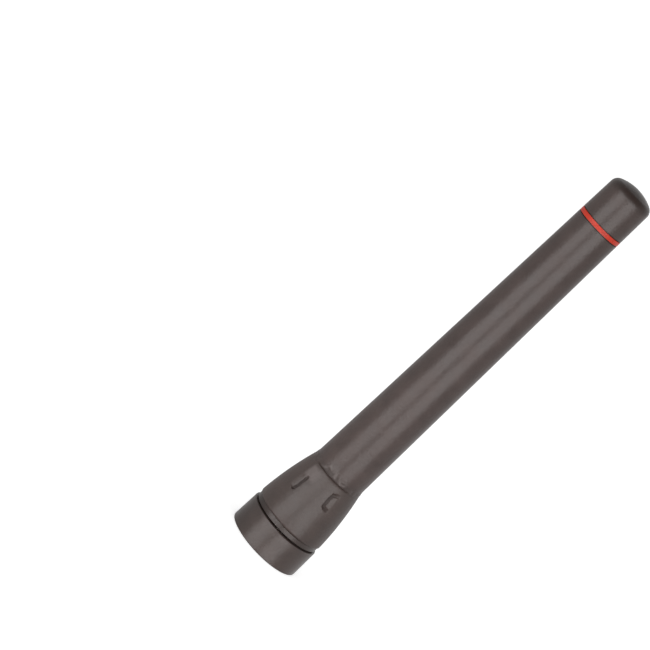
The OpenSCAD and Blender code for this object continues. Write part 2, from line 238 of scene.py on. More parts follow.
def dress(node, material):
    """Gives a CAD solid its material."""
    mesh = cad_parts[node].data
    mesh.materials.clear()
    mesh.materials.append(material)


# %% [markdown]
# ## Rubber
#
# The boot and the sheath are moulded in a dark, slightly warm grey rubber. Its mould was lightly
# blasted, so the surface has a fine grain that spreads every highlight into a broad soft band. Shade is
# painted into its grooves, where it is partly dirt, into the lines beside the colour band and round the
# tip, and into the crease and the pits at its seam. A scraped edge and the trimmed flash are painted
# paler, partly as painted highlights, and the upper end is a little darker. A flat colour would look like
# plastic film, so three noises of different size vary the colour, and a fine one gives the grain.


# %% Rubber
# This dark colour paints shade in grooves, creases and pits, beside the colour band, round the tip and on the
# plastics' left side. In the grip grooves it is partly dirt, and it also darkens the upper end.
SHADE_AND_DIRT = (0.015, 0.008, 0.006)
DUST = (0.14, 0.13, 0.12)
# This pale colour is painted on scuffed rubber and knife-cut flash, partly as a painted highlight.
PALE_SCUFF_AND_HIGHLIGHT = (0.082, 0.064, 0.06)
# One over each scale is the size of that noise's features in metres.
CLOUD_SCALE = 260.0
GRAIN_SCALE = 2600.0
SPECK_SCALE = 5200.0
# How far the clouds change the colour and the roughness, and how deep the clouds and the grain are.
DARK_SHARE = 0.86
PALE_SHARE = 1.16
ROUGHNESS_SPREAD = 0.04
# How much rougher the painted shade and dirt make the rubber.
DARKENED_ROUGHNESS = 0.5
CLOUD_RELIEF = 2.5
GRAIN_DEPTH = 0.000035


def make_rubber(name, color, sheen, roughness, darkened_heights, painted=False):
    """A matt rubber with grain, faint clouds and dust specks, darkened at given heights; painted adds the
    stored pale paint and painted shade.
    """
    material, shader = new_material(name, color, roughness)
    shader.inputs["Specular IOR Level"].default_value = sheen
    where = object_place(material)
    clouds = noise_pattern(material, where, CLOUD_SCALE, 3.0)
    fine = noise_pattern(material, where, GRAIN_SCALE, 2.0)
    pale = shade(color, PALE_SHARE)
    tone = cloudy(material, clouds, shade(color, DARK_SHARE), pale)
    tone = blend_colors(material, remap(material, fine, 0.3, 0.7, 0.0, 0.35), tone, pale)
    specks = noise_pattern(material, where, SPECK_SCALE, 1.0)
    tone = blend_colors(material, remap(material, specks, 0.74, 0.8, 0.0, 0.3), tone, DUST)
    # Darkening at given heights: painted shade, except for the plain darkening of the upper end.
    for z, reach, share in darkened_heights:
        darker_here = remap(material, near_height(material, z, reach), 0.0, 0.6, 0.0, share)
        tone = blend_colors(material, darker_here, tone, SHADE_AND_DIRT)
    rough = remap(material, clouds, 0.3, 0.7, roughness - ROUGHNESS_SPREAD, roughness + ROUGHNESS_SPREAD)
    # The stored paint: pale scuffs that are partly painted highlight, and painted shade that is partly dirt.
    if painted:
        pale_paint = stored_value(material, "scuff_and_highlight")
        darkened = stored_value(material, "groove")
        tone = blend_colors(material, pale_paint, tone, PALE_SCUFF_AND_HIGHLIGHT)
        tone = blend_colors(material, darkened, tone, SHADE_AND_DIRT)
        rough = combine(material, "ADD", rough, remap(material, darkened, 0.0, 1.0, 0.0, DARKENED_ROUGHNESS))
    material.node_tree.links.new(tone, shader.inputs["Base Color"])
    material.node_tree.links.new(rough, shader.inputs["Roughness"])
    relief = combine(material, "ADD", fine, combine(material, "MULTIPLY", clouds, CLOUD_RELIEF))
    add_bump(material, shader, relief, GRAIN_DEPTH)
    return material


# Sheen is the strength of the shader's reflection at its surface; 0.5 would be that of glass.
SHEEN = 0.27
BOOT_SHEEN = 0.375
RUBBER = (0.052, 0.0375, 0.0342)
BOOT_RUBBER = (0.0423, 0.029, 0.0252)
# Each darkened place: its height, how far it reaches up and down, and how dark its middle is. The upper end
# is a little darker; the lines beside the colour band and round the tip are painted shade.
band_half = (band_high[2] - band_low[2]) / 2
band_z = band_low[2] + band_half
darker_upper_end = (tip_z, 55 * MM, 0.25)
# Painted shade beside the colour band and round the tip.
sheath_darkening = [darker_upper_end, (band_z, band_half + 0.35 * MM, 0.85), (tip_z - 0.9 * MM, 1.6 * MM, 0.8)]
sheath_rubber = make_rubber("sheath_rubber", RUBBER, SHEEN, 0.34, sheath_darkening)
boot_rubber = make_rubber("boot_rubber", BOOT_RUBBER, BOOT_SHEEN, 0.43, [], painted=True)
dress("sheath", sheath_rubber)
dress("boot", boot_rubber)
print("rubber materials:", sheath_rubber.name, boot_rubber.name)

# %% [markdown]
# ## Moulded plastics
#
# The collar and the bead are hard plastic, with a finer grain than the rubber and a little more gloss.
# Their left side, a little towards the back, is darkened with painted shade. It could be painted on a map,
# but a blend that follows the direction from the axis needs none, and it moves with its piece. The colour
# band is a smooth, strong red plastic.


# %% Plastics
# The painted shade's middle, in degrees from the front, and where it begins and is full, measured that way.
SIDE_SHADE_AZIMUTH = -100.0
SIDE_SHADE_FROM = 0.3 * boot_foot_r
SIDE_SHADE_FULL = 0.65 * boot_foot_r
PLASTIC_CLOUD_SCALE = 420.0
PLASTIC_GRAIN_SCALE = 4200.0


def left_side_shade(material, share):
    """Painted shade: rises from 0 in front to share on the piece's left side, a little towards the back."""
    nodes = material.node_tree.nodes
    along = nodes.new("ShaderNodeVectorMath")
    along.operation = "DOT_PRODUCT"
    material.node_tree.links.new(object_place(material), along.inputs[0])
    turn = math.radians(SIDE_SHADE_AZIMUTH)
    along.inputs[1].default_value = (math.sin(turn), -math.cos(turn), 0.0)
    return remap(material, along.outputs["Value"], SIDE_SHADE_FROM, SIDE_SHADE_FULL, 0.0, share)


def make_plastic(name, color, roughness, grain_depth, variation=0.1, sheen=SHEEN, side_shade=0.0):
    """A moulded plastic with slight clouds of colour and a fine grain; painted shade darkens its left side.
    """
    material, shader = new_material(name, color, roughness)
    shader.inputs["Specular IOR Level"].default_value = sheen
    where = object_place(material)
    clouds = noise_pattern(material, where, PLASTIC_CLOUD_SCALE, 3.0)
    fine = noise_pattern(material, where, PLASTIC_GRAIN_SCALE, 2.0)
    tone = cloudy(material, clouds, shade(color, 1.0 - variation), shade(color, 1.0 + variation))
    # Painted shade on the left side.
    if side_shade > 0.0:
        tone = blend_colors(material, left_side_shade(material, side_shade), tone, SHADE_AND_DIRT)
    material.node_tree.links.new(tone, shader.inputs["Base Color"])
    rough = remap(material, fine, 0.3, 0.7, roughness - 0.05, roughness + 0.06)
    material.node_tree.links.new(rough, shader.inputs["Roughness"])
    add_bump(material, shader, fine, grain_depth)
    return material


COLLAR = (0.047, 0.0335, 0.0297)
MOULDING = (0.037, 0.0262, 0.0232)
BAND_RED = (0.385, 0.023, 0.008)
# The collar and the bead get painted shade on their left side.
dress("base_collar", make_plastic("collar_plastic", COLLAR, 0.34, 0.00002, sheen=0.36, side_shade=0.38))
dress("base_moulding", make_plastic("moulding_plastic", MOULDING, 0.34, 0.00001, sheen=0.34, side_shade=0.8))
dress("colour_band", make_plastic("band_red", BAND_RED, 0.42, 0.000006, variation=0.12))
dress("coil_cap", make_plastic("cap_plastic", (0.05, 0.05, 0.05), 0.5, 0.00001))
dress("coil_sleeve", make_plastic("sleeve_plastic", (0.015, 0.015, 0.016), 0.35, 0.00002))
dress("core_rod", make_plastic("core_plastic", (0.68, 0.65, 0.56), 0.45, 0.00001))
dress("plug_insulator", make_plastic("insulator_white", (0.8, 0.8, 0.77), 0.4, 0.000005, variation=0.03))
dress("nut_seal", make_plastic("seal_rubber", (0.36, 0.03, 0.02), 0.5, 0.00001))

# %% [markdown]
# ## Boot skin
#
# The boot is a hollow bell of rubber. The solid has its two grip marks as plain cuts, but a moulded mark
# has soft edges, a floor that rises out of a groove, and shade in the groove, painted there with some dirt.
# So the solid gives way to a finer skin of the same shape. A bell like this could be cut from a cylinder
# with bevels. Spinning half its outline round the axis is closer to how a mould is turned, and it lets the
# rows be set close together where the marks need them.

# %% Outline of the boot
STEPS_ROUND = 480
# The side bulges out of a straight line, ends in a rounded rim and has a rounded foot.
BULGE = 0.27 * MM
RIM_R = 0.45 * MM
RIM_SIDE_R = 5.225 * MM
CREASE = 0.16 * MM
# The hollow follows the moulding's wide foot and its neck, and the bell closes on the sheath's foot.
LOCK_R = 5.5 * MM
NECK_R = 4.8 * MM
SHEATH_FOOT_R = 4.2 * MM
# The rows are close together from here up, where the marks are.
MARKS_FROM_Z = boot_foot_z + 4.4 * MM
COARSE_ROW = 0.4 * MM
FINE_ROW = 0.09 * MM
boot_h = rim_z - boot_foot_z
drop = boot_foot_r - RIM_SIDE_R
chord = math.hypot(boot_h, drop)
arc_r = (chord * chord / 4 + BULGE * BULGE) / (2 * BULGE)
arc_x = boot_foot_r - drop / 2 - (arc_r - BULGE) * boot_h / chord
arc_z = boot_foot_z + boot_h / 2 - (arc_r - BULGE) * drop / chord


def top_of_wide_part(node, radius):
    """Height of the highest point of a solid that lies farther than radius from the axis."""
    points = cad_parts[node].data.vertices
    return max(point.co.z for point in points if math.hypot(point.co.x, point.co.y) > radius)


lock_z = top_of_wide_part("base_moulding", (LOCK_R + NECK_R) / 2)
neck_z = top_of_wide_part("base_moulding", NECK_R / 2)
print("steps inside the boot in mm:", [round(height / MM, 2) for height in (lock_z, neck_z)])


def boot_radius(z):
    """Radius of the boot's side at height z."""
    return arc_x + math.sqrt(arc_r * arc_r - (z - arc_z) ** 2)


def boot_outline():
    """Half the boot's section, from the inner edge of its foot, out, up, over the rim and back down."""
    points = [(LOCK_R, boot_foot_z), (boot_foot_r - CREASE, boot_foot_z)]
    for angle in (-60, -30):
        turn = math.radians(angle)
        edge_r = boot_foot_r - CREASE * (1 - math.cos(turn))
        points.append((edge_r, boot_foot_z + CREASE * (1 + math.sin(turn))))
    z = boot_foot_z + 2 * CREASE
    while z < rim_z - RIM_R:
        points.append((boot_radius(z), z))
        z += FINE_ROW if z > MARKS_FROM_Z else COARSE_ROW
    rim_middle_r = boot_radius(rim_z - RIM_R) - RIM_R
    for angle in (12, 24, 36, 48, 58):
        turn = math.radians(angle)
        points.append((rim_middle_r + RIM_R * math.cos(turn), rim_z - RIM_R + RIM_R * math.sin(turn)))
    points += [(rim_middle_r, rim_z), (SHEATH_FOOT_R, rim_z), (SHEATH_FOOT_R, neck_z)]
    points += [(NECK_R, neck_z), (NECK_R, lock_z), (LOCK_R, lock_z), (LOCK_R, boot_foot_z)]
    return points


print("points in the outline:", len(boot_outline()))

# %% [markdown]
# The outline is drawn from a plane that is merged into one corner and then extruded point by point. The
# spin turns it once round. Its first and last columns meet, so doubles are merged, and because a spin can
# turn a shape inside out, the normals are worked out again.


# %% Spin an outline
WELD = 0.002 * MM


def spin_outline(name, points, steps):
    """Draws the points as a line in the XZ plane and spins it round the Z axis into a closed ring."""
    bpy.ops.object.select_all(action="DESELECT")
    bpy.ops.mesh.primitive_plane_add(size=MM)
    piece = bpy.context.object
    piece.name = name
    bpy.ops.object.mode_set(mode="EDIT")
    bpy.ops.mesh.select_all(action="SELECT")
    bpy.ops.mesh.merge(type="CENTER")
    bpy.ops.transform.translate(value=(points[0][0], 0.0, points[0][1]))
    for before, after in zip(points, points[1:]):
        step = (after[0] - before[0], 0.0, after[1] - before[1])
        bpy.ops.mesh.extrude_region_move(TRANSFORM_OT_translate={"value": step})
    bpy.ops.mesh.select_all(action="SELECT")
    bpy.ops.mesh.spin(steps=steps, angle=2 * math.pi, center=(0.0, 0.0, 0.0), axis=(0.0, 0.0, 1.0))
    bpy.ops.mesh.select_all(action="SELECT")
    bpy.ops.mesh.remove_doubles(threshold=WELD)
    bpy.ops.mesh.normals_make_consistent(inside=False)
    bpy.ops.object.mode_set(mode="OBJECT")
    bpy.ops.object.transform_apply(location=True, rotation=True, scale=True)
    return piece


boot_skin = spin_outline("boot_skin", boot_outline(), STEPS_ROUND)
print("boot skin faces:", len(boot_skin.data.polygons))

# %% [markdown]
# ## Grip marks
#
# Each mark is a shallow pocket. Its floor is deepest beside a narrow groove on the side nearer the front
# and rises until it meets the surface. The left groove ends in a short hook at its foot, and the right
# one has a hook at both ends. Cutting them with booleans would leave hard edges. Here every point of the
# skin gets two weights, as if painted by hand: how deep the floor is, and how deep the groove. Displace
# modifiers then sink the skin by those weights, and painted shade, partly dirt, is stored where the
# groove is. The same groove weight draws the thin crease under the sheath, with painted shade in it. Above
# the left mark the side is worn to a shallow facet, whose far side is painted paler: scuffed rubber with a
# painted highlight.
#
# Angles are in degrees from the front, positive to the right, and heights are in mm above the base. A
# groove is a list of (angle, height, weight). A floor is (angle at its deep side, angle where it meets the
# surface, low end, high end, length of its fading top). The other ranges hold (where it starts, length of
# the rise, where it ends, length of the fall).

# %% Weights of the marks
LEFT_GROOVE = [
    (-32.2, 14.75, 0.9), (-32.0, 14.3, 1.0), (-32.0, 13.7, 1.0), (-31.9, 12.85, 1.0), (-32.2, 12.25, 1.1),
    (-34.0, 11.85, 1.1),
]
RIGHT_GROOVE = [
    (31.5, 16.22, 0.5), (27.3, 16.15, 0.8), (24.5, 16.02, 0.9), (22.6, 15.7, 1.0), (21.4, 15.2, 1.0),
    (21.4, 14.7, 0.9), (21.8, 14.2, 0.9), (22.2, 13.8, 1.1), (23.3, 13.48, 1.2), (26.0, 13.3, 1.45),
    (30.5, 13.26, 1.35),
]
# A groove's half width and the part of it that slopes.
GROOVE_HALF = 0.4
GROOVE_FADE = 0.26
# The floors, the share of an angle span that their wall at the groove takes, and how their ends are eased.
LEFT_FLOOR = (-31.5, -45.0, 11.8, 15.4, 1.8)
RIGHT_FLOOR = (20.5, 33.0, 13.3, 16.15, 0.25)
RIGHT_FLOOR_SHARE = 0.75
FLOOR_WALL = 0.16
FLOOR_OVERRUN = 0.1
FLOOR_RISE = 0.25
# No mark reaches beyond these angles.
MARKS_FROM = -50.0
MARKS_TO = 40.0
# The facet: its deepest angle, its reach to the far and the near side, its depth, and where its scuffed far
# side is painted paler as a painted highlight.
FACET_MIDDLE = -28.0
FACET_FAR = 15.0
FACET_NEAR = 28.0
FACET_SHARE = 0.45
FACET_HEIGHTS = (13.6, 1.8, 17.7, 0.8)
SCUFF_AND_HIGHLIGHT_ANGLES = (-47.0, 7.0, -12.0, 14.0)
SCUFF_AND_HIGHLIGHT_HEIGHTS = (14.3, 0.8, 17.4, 0.8)
# The crease just under the rim: height, half width and depth, and the cosine of the angle where it opens.
SEAM_Z = rim_z / MM - 0.17
SEAM_HALF = 0.27
SEAM_SHARE = 0.25
CREASE_FROM = 0.67
CREASE_RISE = 0.2
# How dark the painted shade is in the grooves, where it is partly dirt, and in the seam. Fainter weights
# aren't kept, and points this far inside belong to the hollow.
GROOVE_SHADE_AND_DIRT = 0.42
SEAM_SHADE = 0.1
FAINTEST = 0.01
INNER_SIDE = 0.3 * MM


def smooth(value):
    """Clamps value to 0..1 and eases it in and out."""
    value = max(0.0, min(1.0, value))
    return value * value * (3 - 2 * value)


def between(value, start, rise, end, fall):
    """0 outside start and end, 1 well inside them, eased over the lengths rise and fall."""
    return smooth((value - start) / rise) * smooth((end - value) / fall)


def line_weight(angle, z, radius, line, half, fade):
    """How near a drawn line a point is: angle in degrees, the rest in mm, line as (angle, z, weight)."""
    best = 0.0
    x = math.radians(angle) * radius
    for (a0, z0, w0), (a1, z1, w1) in zip(line, line[1:]):
        x0, x1 = math.radians(a0) * radius, math.radians(a1) * radius
        length = (x1 - x0) ** 2 + (z1 - z0) ** 2
        share = max(0.0, min(1.0, ((x - x0) * (x1 - x0) + (z - z0) * (z1 - z0)) / length))
        away = math.hypot(x - x0 - share * (x1 - x0), z - z0 - share * (z1 - z0))
        best = max(best, (w0 + share * (w1 - w0)) * smooth((half - away) / fade))
    return best


def floor_weight(angle, z, floor):
    """How deep the pocket's floor is: 1 beside its groove, 0 where it meets the surface."""
    deep, flush, low, high, top_fade = floor
    across = (angle - deep) / (flush - deep)
    edge = smooth(1 + across / FLOOR_WALL) if across < 0 else max(0.0, 1 - across)
    return edge * between(z, low - FLOOR_OVERRUN, FLOOR_RISE, high + FLOOR_OVERRUN, top_fade)


def facet_weight(angle, z):
    """How deep the shallow facet above the left mark is: steep on its far side, gentle on its near side."""
    if angle < FACET_MIDDLE:
        across = max(0.0, 1 - ((FACET_MIDDLE - angle) / FACET_FAR) ** 2)
    else:
        across = 1 - smooth((angle - FACET_MIDDLE) / FACET_NEAR)
    return FACET_SHARE * across * between(z, *FACET_HEIGHTS)


def facet_scuff_and_highlight(angle, z):
    """How pale the far side of that facet is painted: scuffed rubber with a painted highlight."""
    return between(angle, *SCUFF_AND_HIGHLIGHT_ANGLES) * between(z, *SCUFF_AND_HIGHLIGHT_HEIGHTS)


def crease_share(angle):
    """The crease under the sheath is open in front and at the back, and closed with rubber at the sides."""
    return smooth((abs(math.cos(math.radians(angle))) - CREASE_FROM) / CREASE_RISE)


def store_paint(piece, scuff_and_highlight, dark_paint):
    """Keeps two values per point for the rubber's material: how pale it is painted, for scuffs and painted
    highlights, and how dark, for painted shade and dirt.
    """
    for name, values in (("scuff_and_highlight", scuff_and_highlight), ("groove", dark_paint)):
        attribute = piece.data.attributes.new(name, "FLOAT", "POINT")
        attribute.data.foreach_set("value", values)


def paint_marks(piece):
    """Weighs the floor, the groove and the seam at each point of the skin, and stores the painted highlight
    on the facet and the painted shade, partly dirt, in the grooves and the seam.
    """
    floor_group = piece.vertex_groups.new(name="mark_floor")
    groove_group = piece.vertex_groups.new(name="mark_groove")
    dark_paint = [0.0] * len(piece.data.vertices)
    scuff_and_highlight = [0.0] * len(piece.data.vertices)
    for point in piece.data.vertices:
        x, y, z = (value / MM for value in point.co)
        radius = math.hypot(x, y)
        if point.co.z < MARKS_FROM_Z or radius * MM < boot_radius(point.co.z) - INNER_SIDE:
            continue
        angle = math.degrees(math.atan2(x, -y))
        seam = crease_share(angle) * math.exp(-(((z - SEAM_Z) / SEAM_HALF) ** 2))
        floor_depth = deep = 0.0
        if MARKS_FROM < angle < MARKS_TO:
            for line in (LEFT_GROOVE, RIGHT_GROOVE):
                deep += line_weight(angle, z, radius, line, GROOVE_HALF, GROOVE_FADE)
            left = floor_weight(angle, z, LEFT_FLOOR)
            right = RIGHT_FLOOR_SHARE * floor_weight(angle, z, RIGHT_FLOOR)
            floor_depth = max(left, right, facet_weight(angle, z))
            # The facet's far side is painted paler: scuffed rubber with a painted highlight.
            scuff_and_highlight[point.index] = facet_scuff_and_highlight(angle, z) * (1.0 - min(1.0, deep))
        if floor_depth > 0.0:
            floor_group.add([point.index], floor_depth, "REPLACE")
        # Painted shade, partly dirt, goes into the grooves and the seam.
        if deep + seam > FAINTEST:
            groove_group.add([point.index], min(1.0, deep + SEAM_SHARE * seam), "REPLACE")
            dark_paint[point.index] = min(1.0, GROOVE_SHADE_AND_DIRT * deep + SEAM_SHADE * seam)
    store_paint(piece, scuff_and_highlight, dark_paint)
    return sum(value > GROOVE_SHADE_AND_DIRT / 2 for value in dark_paint)


print("points in the grooves:", paint_marks(boot_skin))


# %% Sink the marks
FLOOR_DEPTH = 0.3 * MM
GROOVE_DEPTH = 0.2 * MM


def sink(piece, group, depth):
    """Moves the piece's surface inward by depth where the group's weight is 1."""
    bpy.ops.object.select_all(action="DESELECT")
    piece.select_set(True)
    bpy.context.view_layer.objects.active = piece
    bpy.ops.object.modifier_add(type="DISPLACE")
    displace = piece.modifiers[-1]
    displace.strength = -depth
    displace.mid_level = 0.0
    displace.vertex_group = group
    bpy.ops.object.modifier_apply(modifier=displace.name)


sink(boot_skin, "mark_floor", FLOOR_DEPTH)
sink(boot_skin, "mark_groove", GROOVE_DEPTH)
bpy.ops.object.shade_smooth_by_angle(angle=math.radians(50))
boot_skin.data.materials.append(boot_rubber)
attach(boot_skin, "whip")
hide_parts("boot")
print("boot skin triangles:", 2 * len(boot_skin.data.polygons))

# %% [markdown]
# ## Seam flash
#
# Where the boot meets the sheath, rubber squeezed out of the mould and was trimmed by hand. It clings to
# the sheath above the crease as a ragged collar of small ridges, painted paler where the knife slid, partly
# as painted highlights.
# It could be sculpted. A thin ring is spun here instead, lying just under the sheath's surface, and only
# its ridges are raised through that surface, so its ragged edge comes by itself.

# %% Outline of the flash
# The ring starts below the boot's rim. Its relief is measured from a foot just above the rim.
FLASH_LOW_Z = rim_z - 0.25 * MM
FLASH_FOOT_Z = rim_z + 0.02 * MM
FLASH_HIGH_Z = rim_z + 2.1 * MM
FLASH_ROWS = 34
FLASH_DEPTH = 0.25 * MM
FLASH_HIDDEN = 0.02 * MM
# The sheath's radius under its rounded tip and the height of that tip give its taper.
TIP_R = 4.2 * MM
TIP_H = 2.1 * MM
SHEATH_TAPER = (sheath_r - TIP_R) / (tip_z - TIP_H - rim_z)


def sheath_radius(z):
    """Radius of the sheath's side at height z."""
    return sheath_r - SHEATH_TAPER * (z - rim_z)


def flash_outline():
    """The ring's section: its hidden inner side and an outer side just under the sheath's surface."""
    points = [(sheath_radius(FLASH_LOW_Z) - FLASH_DEPTH, FLASH_LOW_Z)]
    for row in range(FLASH_ROWS + 1):
        z = FLASH_LOW_Z + (FLASH_HIGH_Z - FLASH_LOW_Z) * row / FLASH_ROWS
        points.append((sheath_radius(z) - FLASH_HIDDEN, z))
    points.append((sheath_radius(FLASH_HIGH_Z) - FLASH_DEPTH, FLASH_HIGH_Z))
    points.append(points[0])
    return points


seam_flash = spin_outline("seam_flash", flash_outline(), STEPS_ROUND)
print("flash faces:", len(seam_flash.data.polygons))

# %% [markdown]
# Its ridges are drawn as short lines on the unrolled surface: an arch, a tongue and a wave on the front,
# then slanted ridges all round the back. A fillet joins them at the bottom, so that the boot's slope runs
# smoothly into the sheath, and where the crease is open the ring's foot is drawn in instead. A noise
# roughens both, and painted shade lies between the ridges and along the foot. Angles are in degrees, and
# heights are in mm above the ring's foot.

# %% Ridges of the flash
FRONT_RIDGES = [
    [(-33.0, 0.05, 0.6), (-27.0, 0.5, 0.8), (-20.5, 1.2, 1.0), (-13.5, 0.95, 0.8)],
    [(-3.5, 1.45, 0.5), (-1.0, 0.95, 1.0), (0.5, 0.45, 0.9), (4.5, 0.15, 0.3)],
    [(9.0, 1.0, 0.5), (13.0, 0.55, 0.8), (17.5, 0.2, 1.0), (24.0, 0.4, 0.7), (29.0, 0.7, 0.3)],
]
# A ridge's half width, the part of it that slopes, and the angle beyond which it plays no part.
RIDGE_HALF = 0.5
RIDGE_FADE = 0.5
RIDGE_REACH = 28.0
# The ridges round the back: how many, from which angle and how far apart. They are faint at the sides.
BACK_RIDGES = 18
BACK_FROM = 45.0
BACK_STEP = 15.7
BACK_FACE = (95.0, 265.0)
SIDE_SHARE = 0.3


def all_ridges():
    """The ridges on the front, then the rest round the back, each leaning its own way, faint at the sides."""
    ridges = list(FRONT_RIDGES)
    for k in range(BACK_RIDGES):
        middle = BACK_FROM + BACK_STEP * k + 3.0 * math.sin(5.0 * k)
        height = 0.9 + 0.4 * math.sin(7.0 * k)
        lean = 4.0 * math.sin(3.0 * k)
        strong = 1.0 if BACK_FACE[0] < middle < BACK_FACE[1] else SIDE_SHARE
        foot = (middle - lean, 0.1, 0.8 * strong)
        waist = (middle, 0.5 * height, 0.9 * strong)
        ridges.append([foot, waist, (middle + lean, height, 0.4 * strong)])
    return ridges


def ridge_weight(angle, z, ridges):
    """How high the ridges stand at an angle and at z mm above the ring's foot: 0 to 1."""
    best = 0.0
    for ridge in ridges:
        start = ridge[0][0]
        away = (angle - start + 180.0) % 360.0 - 180.0
        if abs(away) < RIDGE_REACH:
            best = max(best, line_weight(start + away, z, sheath_r / MM, ridge, RIDGE_HALF, RIDGE_FADE))
    return best


# The height of a ridge and of the fillet: a plain share and a share that the ragged noise adds.
RAGGED_SCALE = 1500.0
RIDGE_SHARE = 0.5
RIDGE_LEAST = 0.4
FILLET_TOP = 0.95
FILLET_SHARE = 0.5
FILLET_RAGGED = 0.2
# Below this height the ring is drawn in where the crease is open.
OPEN_BELOW = 0.03
OPEN_FADE = 0.08
# The ridges above the foot are painted paler, partly as knife-cut rubber and partly as painted highlights.
# Painted shade lies in the pits between them and along the foot.
SCUFF_AND_HIGHLIGHT_FROM = -0.25
SCUFF_AND_HIGHLIGHT_RISE = 0.5
PIT_TOP = 1.4
PIT_FADE = 0.7
PIT_SHADE = 0.3
PIT_LEAST = 0.3
PIT_RAGGED = 1.4
FOOT_TOP = 0.7
FOOT_SHADE = 0.06
# Points this far inside belong to the ring's hidden inner side.
FLASH_INNER_SIDE = 0.1 * MM
FLASH_HEIGHT = 0.2 * MM
FLASH_OPENING = 0.12 * MM


def paint_flash(piece):
    """Weighs the flash's relief and its crease, and stores the pale paint on its ridges, partly painted
    highlight, and the painted shade in its pits and along its foot.
    """
    group = piece.vertex_groups.new(name="relief")
    crease = piece.vertex_groups.new(name="crease")
    ridges = all_ridges()
    scuff_and_highlight = [0.0] * len(piece.data.vertices)
    dark_paint = [0.0] * len(piece.data.vertices)
    for point in piece.data.vertices:
        if math.hypot(point.co.x, point.co.y) < sheath_radius(point.co.z) - FLASH_INNER_SIDE:
            continue
        angle = math.degrees(math.atan2(point.co.x, -point.co.y))
        z = (point.co.z - FLASH_FOOT_Z) / MM
        share = crease_share(angle)
        open_here = share * smooth((OPEN_BELOW - z) / OPEN_FADE)
        if open_here > 0.0:
            crease.add([point.index], open_here, "REPLACE")
        ridge = ridge_weight(angle, z, ridges)
        ragged = 0.5 + 0.5 * noise.noise(point.co * RAGGED_SCALE)
        fillet = smooth(1.0 - z / FILLET_TOP) * (FILLET_SHARE + FILLET_RAGGED * ragged) * (1.0 - open_here)
        relief = fillet + RIDGE_SHARE * ridge * (RIDGE_LEAST + ragged)
        group.add([point.index], min(1.0, relief), "REPLACE")
        # The ridges above the foot are painted paler: partly knife-cut rubber, partly painted highlight.
        above_foot = smooth((z - SCUFF_AND_HIGHLIGHT_FROM) / SCUFF_AND_HIGHLIGHT_RISE)
        scuff_and_highlight[point.index] = min(1.0, ridge * (RIDGE_LEAST + ragged) * above_foot)
        # Painted shade in the pits between the ridges and along the foot.
        pit = (1.0 - ridge) * smooth((PIT_TOP - z) / PIT_FADE)
        foot_shade = FOOT_SHADE * smooth(1.0 - z / FOOT_TOP)
        dark_paint[point.index] = share * (foot_shade + PIT_SHADE * (PIT_LEAST + PIT_RAGGED * ragged) * pit)
    store_paint(piece, scuff_and_highlight, dark_paint)
    return max(scuff_and_highlight)


# The most polished value is the strongest pale paint on the ridges, partly painted highlight.
print("most polished:", round(paint_flash(seam_flash), 2))
sink(seam_flash, "relief", -FLASH_HEIGHT)
sink(seam_flash, "crease", FLASH_OPENING)
bpy.ops.object.shade_smooth_by_angle(angle=math.radians(60))
seam_flash.data.materials.append(boot_rubber)
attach(seam_flash, "whip")

# %% [markdown]
# ## Metals
#
# The plug, the nut and the spring are turned or drawn metal. A lathe leaves fine rings round the axis,
# so their bump is a noise that is stretched flat: strong along the axis and almost constant round it.


# %% Metals
# The scale and depth of the lathe's rings, the scale of the tarnish and how far it dulls the colour.
RING_SCALE = 9000.0
RING_DEPTH = 0.000004
TARNISH_SCALE = 900.0
TARNISH_SHARE = 0.62


def make_metal(name, color, roughness):
    """A turned metal with fine rings round the axis and slight tarnish."""
    material, shader = new_material(name, color, roughness, metallic=1.0)
    rings = noise_pattern(material, object_place(material, (0.04, 0.04, 1.0)), RING_SCALE, 2.0)
    tarnish = noise_pattern(material, object_place(material), TARNISH_SCALE, 4.0, 0.6)
    dull = shade(color, TARNISH_SHARE)
    tone = blend_colors(material, remap(material, tarnish, 0.45, 0.75, 0.0, 0.6), color, dull)
    material.node_tree.links.new(tone, shader.inputs["Base Color"])
    rough = remap(material, tarnish, 0.3, 0.7, roughness, roughness + 0.15)
    material.node_tree.links.new(rough, shader.inputs["Roughness"])
    add_bump(material, shader, rings, RING_DEPTH)
    return material


gold = make_metal("gold_plate", (0.83, 0.6, 0.24), 0.22)
dress("coupling_nut", make_metal("nickel_plate", (0.62, 0.6, 0.56), 0.26))
dress("plug_body", gold)
dress("centre_pin", gold)
dress("retaining_ring", make_metal("spring_bronze", (0.6, 0.4, 0.22), 0.3))
dress("coil_holder", make_metal("brass", (0.7, 0.5, 0.2), 0.28))
dress("coil", make_metal("copper_plate", (0.72, 0.38, 0.22), 0.3))
dress("solder_joint", make_metal("solder", (0.6, 0.6, 0.6), 0.4))

# %% [markdown]
# ## Floor and lights
#
# The aerial stands on a pale floor in a white room. Small products are often lit with two soft boxes,
# one on each side of the camera: on a round body each gives one long soft highlight, with a darker line
# between them. The room itself draws a pale rim along both sides. Its ceiling and its left rear corner
# are dimmer, so that the rims differ. The floor and the world are white where the camera sees them
# directly, and an ordinary light level where they light the aerial.


# %% Floor
# The floor glows at FLOOR_GLOW only where the camera sees it directly.
WHITE = (1.0, 1.0, 1.0, 1.0)
FLOOR_COLOR = (0.9, 0.9, 0.9)
FLOOR_ROUGHNESS = 0.8
FLOOR_GLOW = 0.5
MIRROR_ROUGHNESS = 0.1
FLOOR_SIZE = 8.0


def reflected(owner, path):
    """1 for rays that look for the surroundings in a glossy surface, 0 for all others."""
    return combine(owner, "MAXIMUM", path.outputs["Is Glossy Ray"], path.outputs["Is Transmission Ray"])


